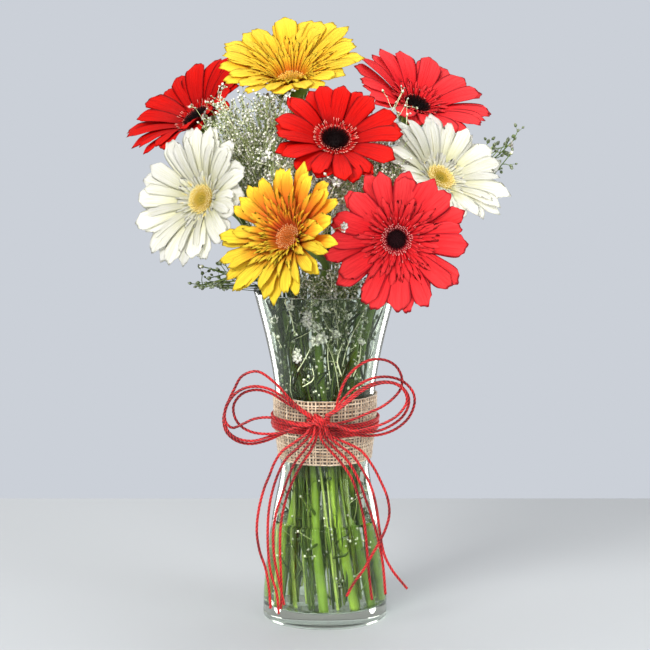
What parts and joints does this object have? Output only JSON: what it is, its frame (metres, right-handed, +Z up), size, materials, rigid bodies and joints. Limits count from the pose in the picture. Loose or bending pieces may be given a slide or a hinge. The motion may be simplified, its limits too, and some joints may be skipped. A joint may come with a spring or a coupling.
{
  "type": "gerberas in a vase",
  "caption": "Gerbera blooms with fine filler sprays in a flared clear glass vase of water, wrapped in a burlap band and tied with a bow of red twine.",
  "frame": {"origin": "centre of the vase's underside", "axes": "+Z up, -Y towards the front, where the bow is tied"},
  "size_m": [0.294, 0.2471, 0.4435],
  "materials": {
    "glass": "clear, polished, thick base",
    "water": "clear still water",
    "burlap": "plain open weave, matt",
    "twine": "twisted cotton twine, matt",
    "stem": "smooth fresh green stem",
    "filler": "thin dull green twigs with pale buds",
    "yellow_petals": "satin petals, warmer at the base",
    "gold_petals": "satin petals, orange at the base and yellow at the tips",
    "red_petals": "satin petals",
    "rose_petals": "satin petals, a little pinker",
    "white_petals": "satin petals, creamy white",
    "dark_disc": "matt dark florets with paler tips",
    "yellow_disc": "matt yellow florets, greener in the middle",
    "amber_disc": "matt amber florets"
  },
  "bodies": {
    "root": {"vase": "glass", "water": "water", "burlap_band": "burlap", "yellow_top_stem": "stem", "yellow_top_petals": "yellow_petals", "yellow_top_disc": "amber_disc", "red_left_stem": "stem", "red_left_petals": "red_petals", "red_left_disc": "dark_disc", "red_right_stem": "stem", "red_right_petals": "rose_petals", "red_right_disc": "dark_disc", "red_centre_stem": "stem", "red_centre_petals": "red_petals", "red_centre_disc": "dark_disc", "white_left_stem": "stem", "white_left_petals": "white_petals", "white_left_disc": "yellow_disc", "white_right_stem": "stem", "white_right_petals": "white_petals", "white_right_disc": "yellow_disc", "gold_front_stem": "stem", "gold_front_petals": "gold_petals", "gold_front_disc": "amber_disc", "rose_front_stem": "stem", "rose_front_petals": "rose_petals", "rose_front_disc": "dark_disc", "spray_left": "filler", "spray_front": "filler", "spray_right": "filler", "spray_right_reach": "filler", "spray_left_reach": "filler", "spray_neck": "filler", "spray_back": "filler", "spray_back_left": "filler", "twine_wrap": "twine", "bow_knot": "twine", "bow_loop_left_1": "twine", "bow_loop_left_2": "twine", "bow_loop_left_3": "twine", "bow_loop_left_4": "twine", "bow_loop_right_1": "twine", "bow_loop_right_2": "twine", "bow_loop_right_3": "twine", "bow_loop_right_4": "twine", "bow_tail_left_1": "twine", "bow_tail_left_2": "twine", "bow_tail_left_3": "twine", "bow_tail_left_4": "twine", "bow_tail_right_1": "twine", "bow_tail_right_2": "twine", "bow_tail_right_3": "twine", "bow_tail_right_4": "twine"}
  },
  "joints": []
}
